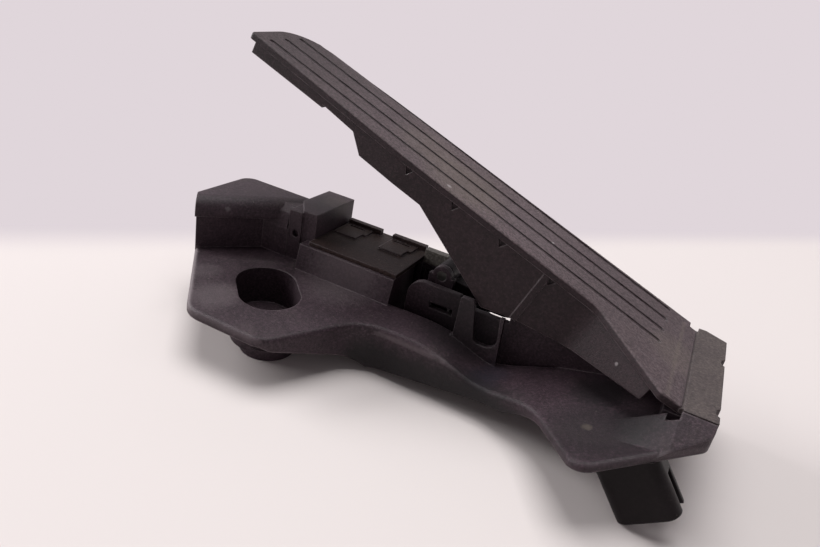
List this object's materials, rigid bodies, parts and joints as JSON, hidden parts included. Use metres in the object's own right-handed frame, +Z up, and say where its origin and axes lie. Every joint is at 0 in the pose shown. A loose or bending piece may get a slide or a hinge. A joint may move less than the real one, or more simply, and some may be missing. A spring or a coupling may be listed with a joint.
{
  "type": "accelerator pedal",
  "caption": "Floor-hinged accelerator pedal module: ribbed tread on a heel hinge over a moulded base with a bolt well, sensor box, sprung rocker and plug socket.",
  "frame": {"origin": "axis of the toe bolt at floor level", "axes": "+X from the toe end to the heel hinge, +Y from the near (brake pedal) side to the far side, +Z up, along the toe bolt"},
  "size_m": [0.2493, 0.1145, 0.1281],
  "materials": {
    "housing_plastic": "glass-filled nylon, fine grain, worn edges",
    "tread_plastic": "grained nylon, grey with wear",
    "clip_plastic": "grained, dusty",
    "lid_plastic": "satin",
    "socket_plastic": "smooth satin",
    "rocker_plastic": "satin",
    "shoe_plastic": "low-friction acetal",
    "seal_rubber": "matt",
    "board_laminate": "solder resist",
    "chip_resin": "moulded resin",
    "plated_steel": "zinc plated",
    "spring_steel": "drawn wire",
    "terminal_metal": "tin plated",
    "bush_bronze": "sintered",
    "magnet_metal": "nickel plated"
  },
  "bodies": {
    "base": {"base_housing": "housing_plastic", "mounting_sleeve": "plated_steel", "sensor_lid": "lid_plastic", "lid_seal": "seal_rubber", "circuit_board": "board_laminate", "sensor_chips": "chip_resin", "heel_clip": "clip_plastic", "connector_socket": "socket_plastic", "terminal_pins": "terminal_metal", "pivot_pin": "plated_steel", "friction_shoe": "shoe_plastic", "spring_seat": "shoe_plastic", "outer_return_spring": "spring_steel", "inner_return_spring": "spring_steel"},
    "pedal": {"pedal_plate": "tread_plastic"},
    "rocker": {"sensor_rocker": "rocker_plastic", "rocker_bushes": "bush_bronze", "rotor_magnet": "magnet_metal"}
  },
  "joints": [
    {"name": "pedal_hinge", "type": "hinge", "parent": "base", "child": "pedal", "pos_m": [0.172, 0.045, 0.044], "axis": [0, -1, 0], "range_deg": [0, 16], "stiffness_Nm_per_rad": 6, "springref_deg": -25.78},
    {"name": "rocker_pivot", "type": "hinge", "parent": "base", "child": "rocker", "pos_m": [0.0575, 0.0655, 0.0387], "axis": [0, 1, 0], "range_deg": [0, 32], "deforming": ["outer_return_spring", "inner_return_spring"]}
  ],
  "couplings": [
    {"joint": "rocker_pivot", "follows": "pedal_hinge", "ratio": 2}
  ]
}
